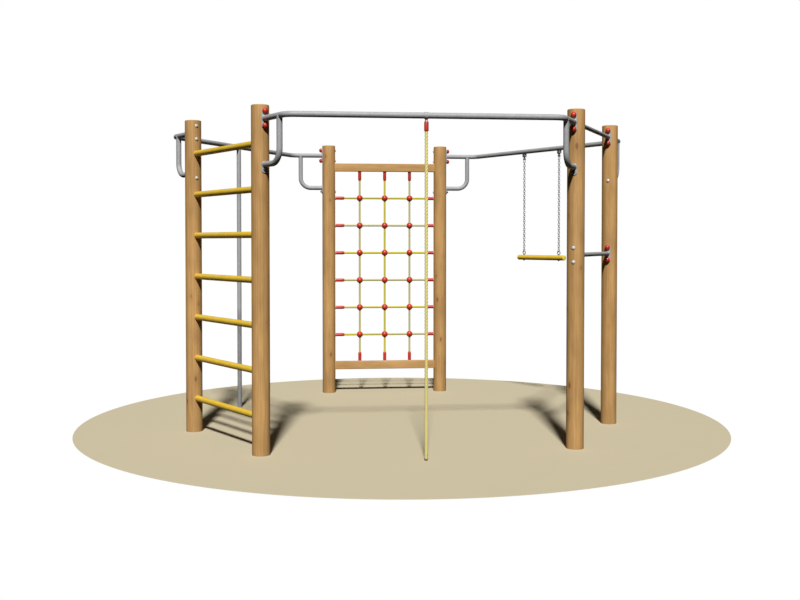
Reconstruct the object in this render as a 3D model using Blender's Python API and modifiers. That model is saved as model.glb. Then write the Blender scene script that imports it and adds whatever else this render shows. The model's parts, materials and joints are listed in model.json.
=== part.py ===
"""Hexagonal timber climbing frame: six round posts joined by a ladder, two pull-up bars, a climbing net and
three bent overhead bars, which carry a climbing rope, a trapeze and a fireman's pole. Metres, +Z up.

The posts stand in three close pairs, the panels, and the overhead bars bridge the wide bays between them.
Every panel is drawn as the back panel and every bay as the front bay, each on an empty at the middle of the
hexagon that is turned into place. The origin is on the ground, at the middle of the frame's outer box.
"""

import math

import bmesh
import bpy
from mathutils import Matrix, Vector

# ---------------------------------------------------------------- driving dimensions
GAP = 0.0003  # between pieces that touch

POST_HEIGHT = 2.500
POST_RADIUS = 0.065
POST_CHAMFER = 0.007
SHORT_SIDE = 1.136  # post to post across a panel
LONG_SIDE = 2.304  # post to post across a bay

BAR_Z = 2.400  # centre line of the overhead bars
BAR_RADIUS = 0.0212
BAR_WALL = 0.0026
BAR_CORNER = 0.3695  # from a post's axis to where the bar's two centre lines meet
BAR_BEND = 0.100
HANDLE_REACH = 0.282  # from a post's axis to the upright of the hand loop
HANDLE_Z = 2.074
HANDLE_BEND = 0.100
FLANGE = (0.045, 0.138)  # width and height
FLANGE_THICK = 0.006
FLANGE_BLANK = 0.018  # depth of a flange before it is cut to bear on its post
LUG_RADIUS = 0.023

CROSS_RADIUS = 0.01685
CROSS_Z = {"upper": BAR_Z, "lower": 1.430}

BOLT_RADIUS = 0.006
BOLT_RISE = 0.052  # of a flange's two bolts above and below its bar
HANDLE_BOLT_Z = 2.037
CAP_RADIUS = 0.0210
CAP_HEIGHT = 0.026
DOME_RADIUS = 0.0135
DOME_HEIGHT = 0.0085
NUT_RADIUS = 0.0095
NUT_HEIGHT = 0.0100
HEAD_ROUND = 0.85  # how far a cap or a dome comes down towards its rim, 1 being right down

RUNG_RADIUS = 0.024
RUNG_WALL = 0.0025
RUNG_COUNT = 7
RUNG_FIRST_Z = 0.2705
RUNG_PITCH = 0.3268
RUNG_SOCKET = 0.030  # depth of a rung's end in its post

RAIL_HEIGHT = 0.080
RAIL_THICK = 0.056
RAIL_Z = {"bottom": 0.275, "top": 2.2825}
NET_ROPE_RADIUS = 0.010
NET_COLUMNS = (-0.2545, 0.0, 0.2545)
NET_FIRST_Z = 0.586
NET_PITCH = 0.2772
NET_ROWS = 6
BALL_RADIUS = 0.031
BALL_NECK = 0.011  # radius where a rope leaves a ball connector
BALL_BAND = 24  # degrees above and below the middle
BALL_SHOULDER = 45  # degrees above and below the middle
FERRULE_RADIUS = 0.0165
FERRULE_LENGTH = 0.090
STUD_RADIUS = 0.006
STUD_LENGTH = 0.035

POLE_RADIUS = 0.020
POLE_WALL = 0.0030

ROPE_RADIUS = 0.012
ROPE_END_Z = 0.012
ROPE_PIN_Z = 2.3610
ROPE_FERRULE_RADIUS = 0.016
ROPE_FERRULE_TOP = 0.0125  # radius of the round top, about the pin
ROPE_FERRULE_SHOULDER = 0.008  # below the pin
ROPE_FERRULE_TAPER = 0.006  # height of the taper at its lower end
ROPE_FERRULE_PIN = 0.021  # length
ROPE_FERRULE_END_Z = 2.2930
SLEEVE_PLAY = 0.0006
SLEEVE_WALL = 0.0032
SLEEVE_WIDTH = 0.026

PIN_RADIUS = 0.004
EYE_THICK = 0.008
EYE_RADIUS = 0.0092
EYE_SIDE_PLAY = 0.0005
EYE_END_PLAY = 0.0015
TRAPEZE_SPACING = 0.470
TRAPEZE_LENGTH = 0.620
TRAPEZE_RADIUS = 0.024
TRAPEZE_Z = 1.379
TRAPEZE_END_WALL = 0.004
TRAPEZE_DRAIN = (0.020, 0.003)  # of a drain hole: distance from the end, and radius
TRAPEZE_NUT = (0.009, 0.008)  # radius and height
TRAPEZE_NUT_SUNK = 0.002  # how far the nut beds into the round underside
HANGER_PIN_Z = BAR_Z - 0.040
HANGER_PIN_RADIUS = 0.005
HANGER_LUG_RADIUS = 0.012
HANGER_LUG_THICK = 0.005
BARREL_RADIUS = 0.011
BARREL_LENGTH = 0.024
CHAIN_TOP_Z = HANGER_PIN_Z - 0.030
CHAIN_FOOT_Z = TRAPEZE_Z + 0.046
CHAIN_RADIUS = 0.008
CLEVIS = (0.018, 0.018, 0.022)  # width, depth, and length from the pin to the closed end
CLEVIS_OPEN = 0.0135  # from the pin to the bottom of the slot
CLEVIS_PIN_PROUD = 0.003  # at each side

PAST = 0.020  # how far a cutter reaches past what it cuts
THROUGH = 0.060  # length of a cutter that passes right through a small fitting

POST_SIDES = 24
POST_TURN = (0, 0, math.pi / POST_SIDES)  # sets a flat of every post square to its panel
TUBE_SIDES = 12
BOLT_SIDES = 8
FITTING_SIDES = 16
CORNER_STEPS = 4  # of an overhead bar's bends
LOOP_STEPS = 5
PIPE_RESOLUTION = 4
HOLLOW_RESOLUTION = 2

# ---------------------------------------------------------------- derived dimensions
SIXTY = math.radians(60)
BAY_Y = -(2 * SHORT_SIDE + LONG_SIDE) / (2 * math.sqrt(3))  # posts of the front bay, from the middle
PANEL_Y = (2 * LONG_SIDE + SHORT_SIDE) / (2 * math.sqrt(3))  # posts of the back panel
BAR_Y = BAY_Y - BAR_CORNER * math.sin(SIXTY)
SLEEVE_BORE = BAR_RADIUS + SLEEVE_PLAY
SLEEVE_RADIUS = SLEEVE_BORE + SLEEVE_WALL
MIDDLE_Y = ((SLEEVE_RADIUS - BAR_Y) - (PANEL_Y + POST_RADIUS)) / 2  # puts the origin mid-way, front to back
FACE = POST_RADIUS + GAP  # from a post's axis to a piece that bears on it
FLANGE_FACE = POST_RADIUS + FLANGE_THICK

# finishes: colour, roughness and metallic
WOOD = ((0.51, 0.30, 0.12), 0.7, 0.0)
STEEL = ((0.48, 0.48, 0.48), 0.4, 0.9)
YELLOW = ((0.78, 0.51, 0.05), 0.4, 0.0)
ROPE = ((0.67, 0.63, 0.27), 0.9, 0.0)
RED = ((0.68, 0.04, 0.03), 0.35, 0.0)


# ---------------------------------------------------------------- scene and materials
def collection(name):
    made = bpy.data.collections.new(name)
    bpy.context.scene.collection.children.link(made)
    return made


for old in list(bpy.data.objects):
    bpy.data.objects.remove(old)
PARTS = collection("climbing_frame")
TOOLS = collection("cutters")


def material(piece, finish):
    """The piece's own material: a plain Principled surface in the colour of its finish."""
    colour, roughness, metallic = finish
    made = bpy.data.materials.new(piece)
    made.use_nodes = True
    shader = made.node_tree.nodes["Principled BSDF"]
    shader.inputs["Base Color"].default_value = (*colour, 1.0)
    shader.inputs["Roughness"].default_value = roughness
    shader.inputs["Metallic"].default_value = metallic
    return made


def empty(name, turn=0.0, at=(0, 0, 0), parent=None):
    made = bpy.data.objects.new(name, None)
    made.location = at
    made.rotation_euler = (0, 0, turn)
    made.parent = parent
    PARTS.objects.link(made)
    return made


MIDDLE = empty("middle_of_hexagon", at=(0, MIDDLE_Y, 0))


# ---------------------------------------------------------------- shapes
def shape(mesh, at=(0, 0, 0), turn=(0, 0, 0), parent=MIDDLE, name=None):
    """An object for a mesh, kept with the cutters until it's named as a piece."""
    made = bpy.data.objects.new(name or mesh.name, mesh)
    made.location = at
    made.rotation_euler = turn
    made.parent = parent
    TOOLS.objects.link(made)
    made.hide_render = True
    made.display_type = "WIRE"
    return made


def piece(made, name, finish):
    """Names a shape as one of the object's pieces, in its own material and smoothly shaded."""
    TOOLS.objects.unlink(made)
    PARTS.objects.link(made)
    made.name = name
    made.hide_render = False
    made.display_type = "TEXTURED"
    if made.data.users > 1 and made.data.materials:
        made.data = made.data.copy()
    made.data.materials.clear()
    made.data.materials.append(material(name, finish))
    made.data.shade_smooth()
    return made


def mesh_from(name, build):
    """A mesh filled by build(bm)."""
    bm = bmesh.new()
    build(bm)
    mesh = bpy.data.meshes.new(name)
    bm.to_mesh(mesh)
    bm.free()
    return mesh


def box(name, size, at=(0, 0, 0), parent=MIDDLE):
    scaled = Matrix.Diagonal((*size, 1))
    mesh = mesh_from(name, lambda bm: bmesh.ops.create_cube(bm, size=1, matrix=scaled))
    return shape(mesh, at, parent=parent)


def rod(name, radius, length, axis, at=(0, 0, 0), sides=TUBE_SIDES, parent=MIDDLE):
    """A round bar centred on at, along axis X, Y or Z."""
    turn = {
        "X": Matrix.Rotation(math.pi / 2, 4, "Y"),
        "Y": Matrix.Rotation(math.pi / 2, 4, "X"),
        "Z": Matrix.Identity(4),
    }[axis]
    mesh = mesh_from(
        name,
        lambda bm: bmesh.ops.create_cone(
            bm, cap_ends=True, segments=sides, radius1=radius, radius2=radius, depth=length, matrix=turn
        ),
    )
    return shape(mesh, at, parent=parent)


def turned(name, profile, sides, closed=False, at=(0, 0, 0), turn=(0, 0, 0), parent=MIDDLE):
    """A profile of (radius, height) points, top to bottom, turned about Z."""
    mesh = bpy.data.meshes.new(name)
    edges = [(i, i + 1) for i in range(len(profile) - 1)]
    if closed:
        edges.append((len(profile) - 1, 0))
    mesh.from_pydata([(r, 0, z) for r, z in profile], edges, [])
    made = shape(mesh, at, turn, parent)
    screw = made.modifiers.new("turn", "SCREW")
    screw.steps = sides
    screw.render_steps = sides
    screw.use_merge_vertices = True
    screw.merge_threshold = 0.00001
    return made


def pipe(name, path, radius, resolution):
    """A round bar along a path, as a mesh whose caps are welded on."""
    curve = bpy.data.curves.new(name, "CURVE")
    curve.dimensions = "3D"
    curve.bevel_depth = radius
    curve.bevel_resolution = resolution
    curve.use_fill_caps = True
    spline = curve.splines.new("POLY")
    spline.points.add(len(path) - 1)
    for point, place in zip(spline.points, path):
        point.co = (*place, 1)
    drawn = bpy.data.objects.new(name, curve)
    TOOLS.objects.link(drawn)
    graph = bpy.context.evaluated_depsgraph_get()
    mesh = bpy.data.meshes.new_from_object(drawn.evaluated_get(graph))
    bpy.data.objects.remove(drawn)
    bm = bmesh.new()
    bm.from_mesh(mesh)
    bmesh.ops.remove_doubles(bm, verts=bm.verts, dist=0.00001)
    bm.to_mesh(mesh)
    bm.free()
    return shape(mesh, name=name)


def rounded_path(corners, radius, steps):
    """Straight runs between corner points, with each inner corner rounded to an arc."""
    path = [corners[0]]
    for before, corner, after in zip(corners, corners[1:], corners[2:]):
        back = (before - corner).normalized()
        ahead = (after - corner).normalized()
        half = back.angle(ahead) / 2
        centre = corner + (back + ahead).normalized() * radius / math.sin(half)
        first = (corner + back * radius / math.tan(half) - centre).normalized()
        last = (corner + ahead * radius / math.tan(half) - centre).normalized()
        path += [centre + first.slerp(last, step / steps) * radius for step in range(steps + 1)]
    return path + [corners[-1]]


def clear(radius, sides):
    """The radius of a bore with that many flats that leaves the gap round a bar of that radius."""
    return (radius + GAP) / math.cos(math.pi / sides)


def combine(target, operation, *tools):
    for tool in tools:
        boolean = target.modifiers.new(tool.name, "BOOLEAN")
        boolean.operation = operation
        boolean.object = tool
    return target


def join(target, *tools):
    return combine(target, "UNION", *tools)


def cut(target, *tools):
    return combine(target, "DIFFERENCE", *tools)


def baked(target):
    """The target's mesh in its parent's frame with its modifiers applied, for pieces made more than once."""
    graph = bpy.context.evaluated_depsgraph_get()
    mesh = bpy.data.meshes.new_from_object(target.evaluated_get(graph))
    mesh.transform(target.matrix_basis)
    used = [m.object for m in target.modifiers if m.type == "BOOLEAN"]
    for tool in [*used, target]:
        bpy.data.objects.remove(tool)
    return mesh


# ---------------------------------------------------------------- panels and bays
PANELS = {  # each panel's turn, and the names of its posts at +X and -X
    "back": (0.0, "back_right", "back_left"),
    "left": (2 * SIXTY, "left", "front_left"),
    "right": (4 * SIXTY, "front_right", "right"),
}
BAYS = {"front": 0.0, "back_right": 2 * SIXTY, "back_left": 4 * SIXTY}

panel = {name: empty(f"panel_{name}", turn, parent=MIDDLE) for name, (turn, _, _) in PANELS.items()}
bay = {name: empty(f"bay_{name}", turn, parent=MIDDLE) for name, turn in BAYS.items()}
rung_heights = [RUNG_FIRST_Z + RUNG_PITCH * i for i in range(RUNG_COUNT)]
net_heights = [NET_FIRST_Z + NET_PITCH * i for i in range(NET_ROWS)]


def bolts_of(panel_name):
    """Height, and what bears on the outside and on the inside of the post, of each bolt in a post."""
    inside = "cap" if panel_name == "right" else "dome"
    found = {
        "top_upper": (BAR_Z + BOLT_RISE, "cap", inside),
        "top_lower": (BAR_Z - BOLT_RISE, "cap", inside),
        "handle": (HANDLE_BOLT_Z, "nut", "dome"),
    }
    if panel_name == "right":
        found["middle_upper"] = (CROSS_Z["lower"] + BOLT_RISE, "dome", "cap")
        found["middle_lower"] = (CROSS_Z["lower"] - BOLT_RISE, "dome", "cap")
    return found


def bolt_profile(outside, inside):
    """A bolt along Z with its outer end up: cap, nut or dome at each end, and the shank between."""

    def head(kind):
        if kind == "cap":
            base = FLANGE_FACE + GAP
            radius, height = CAP_RADIUS, CAP_HEIGHT
            steps = (0.0, 0.55, 0.85, 1.0)
        elif kind == "dome":
            base = FACE
            radius, height = DOME_RADIUS, DOME_HEIGHT
            steps = (0.0, 0.7, 1.0)
        else:
            base = FLANGE_FACE + GAP
            top = base + NUT_HEIGHT
            return [(0, top), (NUT_RADIUS, top), (NUT_RADIUS, base), (BOLT_RADIUS, base)]
        rim = [(radius * s, base + height * math.sqrt(1 - s * s * HEAD_ROUND)) for s in steps]
        return rim + [(radius, base), (BOLT_RADIUS, base)]

    return head(outside) + [(r, -z) for r, z in reversed(head(inside))]


def bolt_bores(parent, x, heights):
    """Cutters for the bolt holes of the post, or of what is bolted to it, at x."""
    bore = clear(BOLT_RADIUS, BOLT_SIDES)
    length = 2 * (FLANGE_FACE + PAST)
    return [
        rod(f"bolt_bore_{parent.name}_{x:.2f}_{z:.3f}", bore, length, "X", (x, PANEL_Y, z), BOLT_SIDES, parent)
        for z in heights
    ]


# ---------------------------------------------------------------- posts and their bolts
def post(name, parent, x, panel_name):
    profile = [
        (0, POST_HEIGHT),
        (POST_RADIUS - POST_CHAMFER, POST_HEIGHT),
        (POST_RADIUS, POST_HEIGHT - POST_CHAMFER),
        (POST_RADIUS, 0),
        (0, 0),
    ]
    made = turned(name, profile, POST_SIDES, at=(x, PANEL_Y, 0), turn=POST_TURN, parent=parent)
    cut(made, *bolt_bores(parent, x, [z for z, _, _ in bolts_of(panel_name).values()]))
    side = math.copysign(1, x)
    if panel_name == "left":
        bore = clear(RUNG_RADIUS, TUBE_SIDES)
        depth = 2 * RUNG_SOCKET
        middle = x - side * (POST_RADIUS - RUNG_SOCKET - GAP + depth / 2)
        for z in rung_heights:
            cut(made, rod(f"socket_{name}_{z:.2f}", bore, depth, "X", (middle, PANEL_Y, z), parent=parent))
    if panel_name == "back":
        depth = 2 * (STUD_LENGTH + GAP)
        for z in net_heights:
            bore = clear(STUD_RADIUS, BOLT_SIDES)
            at = (x - side * POST_RADIUS, PANEL_Y, z)
            cut(made, rod(f"stud_bore_{name}_{z:.2f}", bore, depth, "X", at, BOLT_SIDES, parent))
    return piece(made, f"post_{name}", WOOD)


def post_bolts(name, parent, x, panel_name):
    side = math.copysign(1, x)
    for place, (z, outside, inside) in bolts_of(panel_name).items():
        profile = bolt_profile(outside, inside)
        turn = (0, side * math.pi / 2, 0)
        made = turned(place, profile, BOLT_SIDES, at=(x, PANEL_Y, z), turn=turn, parent=parent)
        piece(made, f"bolt_{name}_{place}", RED if "cap" in (outside, inside) else STEEL)


for panel_name, (_, right_post, left_post) in PANELS.items():
    for post_name, post_x in ((right_post, SHORT_SIDE / 2), (left_post, -SHORT_SIDE / 2)):
        post(post_name, panel[panel_name], post_x, panel_name)
        post_bolts(post_name, panel[panel_name], post_x, panel_name)


def cope_tools(parent, places):
    """Cutters in the shape of the posts, for pieces that are cut to bear on them."""
    top = POST_HEIGHT + PAST
    profile = [(0, top), (FACE, top), (FACE, -PAST), (0, -PAST)]
    return [
        turned(f"cope_{parent.name}_{x:.2f}", profile, POST_SIDES, at=(x, y, 0), turn=POST_TURN, parent=parent)
        for x, y in places
    ]


PANEL_POSTS = [(SHORT_SIDE / 2, PANEL_Y), (-SHORT_SIDE / 2, PANEL_Y)]


# ---------------------------------------------------------------- ladder
def tube_profile(radius, wall, length):
    half = length / 2
    return [(radius, half), (radius, -half), (radius - wall, -half), (radius - wall, half)]


for number, rung_z in enumerate(rung_heights, 1):
    rung_length = SHORT_SIDE - 2 * (POST_RADIUS - RUNG_SOCKET)
    rung = turned(
        "rung", tube_profile(RUNG_RADIUS, RUNG_WALL, rung_length), TUBE_SIDES, closed=True,
        at=(0, PANEL_Y, rung_z), turn=(0, math.pi / 2, 0), parent=panel["left"],
    )  # fmt: skip
    piece(rung, f"ladder_rung_{number}", YELLOW)


# ---------------------------------------------------------------- pull-up bars
for bar_name, bar_z in CROSS_Z.items():
    cross = rod(f"cross_{bar_name}", CROSS_RADIUS, SHORT_SIDE, "X", (0, PANEL_Y, bar_z), parent=panel["right"])
    for x in (SHORT_SIDE / 2, -SHORT_SIDE / 2):
        middle = x - math.copysign(FLANGE_FACE - FLANGE_BLANK / 2, x)
        at = (middle, PANEL_Y, bar_z)
        join(cross, box(f"plate_{bar_name}_{x:.2f}", (FLANGE_BLANK, *FLANGE), at, panel["right"]))
    cut(cross, *cope_tools(panel["right"], PANEL_POSTS))
    inner = CROSS_RADIUS - BAR_WALL
    cut(cross, rod(f"hollow_{bar_name}", inner, SHORT_SIDE, "X", (0, PANEL_Y, bar_z), parent=panel["right"]))
    for x in (SHORT_SIDE / 2, -SHORT_SIDE / 2):
        cut(cross, *bolt_bores(panel["right"], x, (bar_z + BOLT_RISE, bar_z - BOLT_RISE)))
    piece(cross, f"pull_up_bar_{bar_name}", STEEL)


# ---------------------------------------------------------------- climbing net
def stud_and_ferrule(face):
    """Profile of a rope's end, from the tip of its threaded stud down to the rope; face is where it bears."""
    lip = face - GAP
    return [
        (0, face + STUD_LENGTH - GAP), (STUD_RADIUS, face + STUD_LENGTH - GAP), (STUD_RADIUS, lip),
        (FERRULE_RADIUS, lip), (FERRULE_RADIUS, lip - FERRULE_LENGTH), (NET_ROPE_RADIUS, lip - FERRULE_LENGTH),
    ]  # fmt: skip


def mirrored(profile):
    return [(r, -z) for r, z in reversed(profile)]


def ball(z):
    """Profile of a ball connector on a rope, top to bottom, with a plain band where the rope across enters."""
    neck = math.acos(BALL_NECK / BALL_RADIUS)
    upper = [neck, math.radians(BALL_SHOULDER), math.radians(BALL_BAND)]
    arc = upper + [-angle for angle in reversed(upper)]
    return [(BALL_RADIUS * math.cos(a), z + BALL_RADIUS * math.sin(a)) for a in arc]


inner_face = SHORT_SIDE / 2 - POST_RADIUS
across = stud_and_ferrule(inner_face)
for number, rope_z in enumerate(net_heights, 1):
    profile = across + mirrored(across)
    at = (0, PANEL_Y, rope_z)
    made = turned("across", profile, BOLT_SIDES, at=at, turn=(0, math.pi / 2, 0), parent=panel["back"])
    piece(made, f"net_rope_across_{number}", ROPE)

rail_gap = RAIL_Z["top"] - RAIL_Z["bottom"] - RAIL_HEIGHT
net_middle = (RAIL_Z["top"] + RAIL_Z["bottom"]) / 2
for side_name, column in zip(("left", "middle", "right"), NET_COLUMNS):
    end = stud_and_ferrule(rail_gap / 2)
    balls = [point for z in reversed(net_heights) for point in ball(z - net_middle)]
    rope = turned(
        f"up_{side_name}", end + balls + mirrored(end), BOLT_SIDES,
        at=(column, PANEL_Y, net_middle), turn=(0, 0, math.pi / BOLT_SIDES), parent=panel["back"],
    )  # fmt: skip
    for z in net_heights:
        bore = clear(NET_ROPE_RADIUS, BOLT_SIDES)
        at = (column, PANEL_Y, z)
        cut(rope, rod(f"pass_{side_name}_{z:.2f}", bore, 3 * BALL_RADIUS, "X", at, BOLT_SIDES, panel["back"]))
    piece(rope, f"net_rope_up_{side_name}", ROPE)

for rail_name, rail_z in RAIL_Z.items():
    rail = box(f"rail_{rail_name}", (SHORT_SIDE, RAIL_THICK, RAIL_HEIGHT), (0, PANEL_Y, rail_z), panel["back"])
    cut(rail, *cope_tools(panel["back"], PANEL_POSTS))
    inward = -1 if rail_name == "top" else 1
    for column in NET_COLUMNS:
        bore = clear(STUD_RADIUS, BOLT_SIDES)
        at = (column, PANEL_Y, rail_z + inward * RAIL_HEIGHT / 2)
        depth = 2 * (STUD_LENGTH + GAP)
        cut(rail, rod(f"stud_{rail_name}_{column:.2f}", bore, depth, "Z", at, BOLT_SIDES, panel["back"]))
    piece(rail, f"net_rail_{rail_name}", WOOD)


# ---------------------------------------------------------------- overhead bars with hand loops
def overhead_mesh():
    """One bar with its loops, flanges and lugs welded on, drawn in the front bay."""
    ends = {
        -1: (Vector((-LONG_SIDE / 2, BAY_Y, 0)), Vector((math.cos(SIXTY), -math.sin(SIXTY), 0))),
        1: (Vector((LONG_SIDE / 2, BAY_Y, 0)), Vector((-math.cos(SIXTY), -math.sin(SIXTY), 0))),
    }
    up = Vector((0, 0, 1))
    start = POST_RADIUS * 0.8  # inside the post, from where the bar is cut back to bear on it
    hollow_start = POST_RADIUS * 0.72
    under_bar = BAR_Z - BAR_RADIUS - 0.001  # where a loop's hollow stops

    def main_path(first):
        (left, out_left), (right, out_right) = ends[-1], ends[1]
        corners = [
            left + out_left * first,
            left + out_left * BAR_CORNER,
            right + out_right * BAR_CORNER,
            right + out_right * first,
        ]
        return rounded_path([corner + up * BAR_Z for corner in corners], BAR_BEND, CORNER_STEPS)

    def loop_path(side, top, last):
        axis, out = ends[side]
        upright = axis + out * HANDLE_REACH
        corners = [upright + up * top, upright + up * HANDLE_Z, axis + out * last + up * HANDLE_Z]
        return rounded_path(corners, HANDLE_BEND, LOOP_STEPS)

    inner = BAR_RADIUS - BAR_WALL
    bar = pipe("overhead_main", main_path(start), BAR_RADIUS, PIPE_RESOLUTION)
    hollows = [pipe("overhead_hollow", main_path(hollow_start), inner, HOLLOW_RESOLUTION)]
    bores = []
    for side, (axis, out) in ends.items():
        join(bar, pipe(f"loop_{side}", loop_path(side, BAR_Z, start), BAR_RADIUS, PIPE_RESOLUTION))
        hollow_path = loop_path(side, under_bar, hollow_start)
        hollows.append(pipe(f"loop_hollow_{side}", hollow_path, inner, HOLLOW_RESOLUTION))
        facing = math.atan2(out.y, out.x)
        at = axis + out * (FLANGE_FACE - FLANGE_BLANK / 2)
        flange = box(f"flange_{side}", (FLANGE_BLANK, *FLANGE), at + up * BAR_Z)
        lug = rod(f"lug_{side}", LUG_RADIUS, FLANGE_BLANK, "X", at + up * HANDLE_BOLT_Z)
        for fixing in (flange, lug):
            fixing.rotation_euler = (0, 0, facing)
            join(bar, fixing)
        for z in (BAR_Z + BOLT_RISE, BAR_Z - BOLT_RISE, HANDLE_BOLT_Z):
            size = clear(BOLT_RADIUS, BOLT_SIDES)
            at = axis + out * POST_RADIUS + up * z
            bore = rod(f"bar_bore_{side}_{z:.2f}", size, THROUGH, "X", at, BOLT_SIDES)
            bore.rotation_euler = (0, 0, facing)
            bores.append(bore)
    cut(bar, *cope_tools(MIDDLE, [(axis.x, axis.y) for axis, _ in ends.values()]))
    cut(bar, *hollows, *bores)
    return baked(bar)


bar_mesh = overhead_mesh()


def overhead_bar(bay_name):
    return shape(bar_mesh.copy(), parent=bay[bay_name], name=f"overhead_{bay_name}")


piece(overhead_bar("front"), "overhead_bar_front", STEEL)
piece(overhead_bar("back_left"), "overhead_bar_back_left", STEEL)


# ---------------------------------------------------------------- fireman's pole
pole = rod("pole", POLE_RADIUS, BAR_Z, "Z", (0, BAR_Y, BAR_Z / 2), parent=bay["back_left"])
saddle = clear(BAR_RADIUS, TUBE_SIDES)
cut(pole, rod("pole_saddle", saddle, 4 * POLE_RADIUS, "X", (0, BAR_Y, BAR_Z), parent=bay["back_left"]))
hollow_length = BAR_Z - POLE_WALL
hollow_at = (0, BAR_Y, POLE_WALL + hollow_length / 2)
cut(pole, rod("pole_hollow", POLE_RADIUS - POLE_WALL, hollow_length, "Z", hollow_at, parent=bay["back_left"]))
piece(pole, "fireman_pole", STEEL)


# ---------------------------------------------------------------- climbing rope
rope_swing = empty("rope_swing_axis", at=(0, BAR_Y, BAR_Z), parent=bay["front"])
rope_sway = empty("rope_sway_axis", at=(0, 0, ROPE_PIN_Z - BAR_Z), parent=rope_swing)


def eye_plate(name, drop, parent, at=(0, 0, 0)):
    """A flat link in the XZ plane, from at down to a round end about a pin that far below."""
    steps = 6

    def build(bm):
        for y in (-EYE_THICK / 2, EYE_THICK / 2):
            for centre_z, first in ((0, 0), (-drop, math.pi)):
                for step in range(steps + 1):
                    angle = first + math.pi * step / steps
                    bm.verts.new((EYE_RADIUS * math.cos(angle), y, centre_z + EYE_RADIUS * math.sin(angle)))
        bmesh.ops.convex_hull(bm, input=bm.verts)

    return shape(mesh_from(name, build), at, parent=parent)


eye_bore = clear(PIN_RADIUS, BOLT_SIDES)
sleeve = rod("sleeve", SLEEVE_RADIUS, SLEEVE_WIDTH, "X", sides=FITTING_SIDES, parent=rope_swing)
join(sleeve, eye_plate("sleeve_eye", BAR_Z - ROPE_PIN_Z, rope_swing))
sleeve_bore = clear(SLEEVE_BORE, FITTING_SIDES)
cut(sleeve, rod("sleeve_bore", sleeve_bore, THROUGH, "X", sides=FITTING_SIDES, parent=rope_swing))
pin_at = (0, 0, ROPE_PIN_Z - BAR_Z)
cut(sleeve, rod("sleeve_pin_bore", eye_bore, THROUGH, "Y", pin_at, BOLT_SIDES, rope_swing))
piece(sleeve, "rope_hanger", STEEL)

ferrule_end = ROPE_FERRULE_END_Z - ROPE_PIN_Z
dome = [
    (ROPE_FERRULE_TOP * math.sin(angle), ROPE_FERRULE_TOP * math.cos(angle))
    for angle in (math.radians(18 * step) for step in range(6))
]
ferrule_profile = dome + [
    (ROPE_FERRULE_RADIUS, -ROPE_FERRULE_SHOULDER),
    (ROPE_FERRULE_RADIUS, ferrule_end + ROPE_FERRULE_TAPER),
    (ROPE_RADIUS, ferrule_end),
    (0, ferrule_end),
]
ferrule = turned("ferrule", ferrule_profile, FITTING_SIDES, parent=rope_sway)
slot_width = EYE_THICK + 2 * EYE_SIDE_PLAY
slot_floor = EYE_RADIUS + EYE_END_PLAY
slot_height = slot_floor + PAST
slot_at = (0, 0, slot_height / 2 - slot_floor)
cut(ferrule, box("ferrule_slot", (THROUGH, slot_width, slot_height), slot_at, rope_sway))
join(ferrule, rod("ferrule_pin", PIN_RADIUS, ROPE_FERRULE_PIN, "Y", sides=BOLT_SIDES, parent=rope_sway))
piece(ferrule, "rope_ferrule", RED)

rope_top = ROPE_FERRULE_END_Z - GAP
rope_points = 40
rope_path = [
    Vector((0, 0, rope_top + (ROPE_END_Z - rope_top) * step / (rope_points - 1) - ROPE_PIN_Z))
    for step in range(rope_points)
]
climbing_rope = pipe("rope", rope_path, ROPE_RADIUS, PIPE_RESOLUTION)
climbing_rope.parent = rope_sway
piece(climbing_rope, "climbing_rope", ROPE)


# ---------------------------------------------------------------- trapeze
trapeze_swing = empty("trapeze_swing_axis", at=(0, BAR_Y, HANGER_PIN_Z), parent=bay["back_right"])
chain_x = {"left": -TRAPEZE_SPACING / 2, "right": TRAPEZE_SPACING / 2}

hanging_bar = overhead_bar("back_right")
lug_centre = BARREL_LENGTH / 2 + 2 * GAP + HANGER_LUG_THICK / 2
lug_top = BAR_Z - BAR_RADIUS / 3  # inside the bar's wall, away from its middle
for side_name, x in chain_x.items():
    for edge in (-1, 1):
        at = (x + edge * lug_centre, BAR_Y, (HANGER_PIN_Z + lug_top) / 2)
        size = (HANGER_LUG_THICK, 2 * HANGER_LUG_RADIUS, lug_top - HANGER_PIN_Z)
        join(hanging_bar, box(f"hanger_lug_{side_name}_{edge}", size, at, bay["back_right"]))
        at = (x + edge * lug_centre, BAR_Y, HANGER_PIN_Z)
        round_name = f"hanger_end_{side_name}_{edge}"
        round_end = rod(round_name, HANGER_LUG_RADIUS, HANGER_LUG_THICK, "X", at, parent=bay["back_right"])
        join(hanging_bar, round_end)
    pin_length = 2 * lug_centre + HANGER_LUG_THICK
    at = (x, BAR_Y, HANGER_PIN_Z)
    pin = rod(f"hanger_pin_{side_name}", HANGER_PIN_RADIUS, pin_length, "X", at, BOLT_SIDES, bay["back_right"])
    join(hanging_bar, pin)
piece(hanging_bar, "overhead_bar_back_right", STEEL)


def swivel_mesh():
    """The link that turns on a hanger's pin and carries the chain's own pin at right angles, below."""
    swivel = rod("swivel_barrel", BARREL_RADIUS, BARREL_LENGTH, "X")
    drop = HANGER_PIN_Z - CHAIN_TOP_Z
    join(swivel, eye_plate("swivel_eye", drop, MIDDLE))
    cut(swivel, rod("swivel_bore", clear(HANGER_PIN_RADIUS, BOLT_SIDES), THROUGH, "X", sides=BOLT_SIDES))
    cut(swivel, rod("swivel_pin_bore", eye_bore, THROUGH, "Y", (0, 0, -drop), BOLT_SIDES))
    return baked(swivel)


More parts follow.
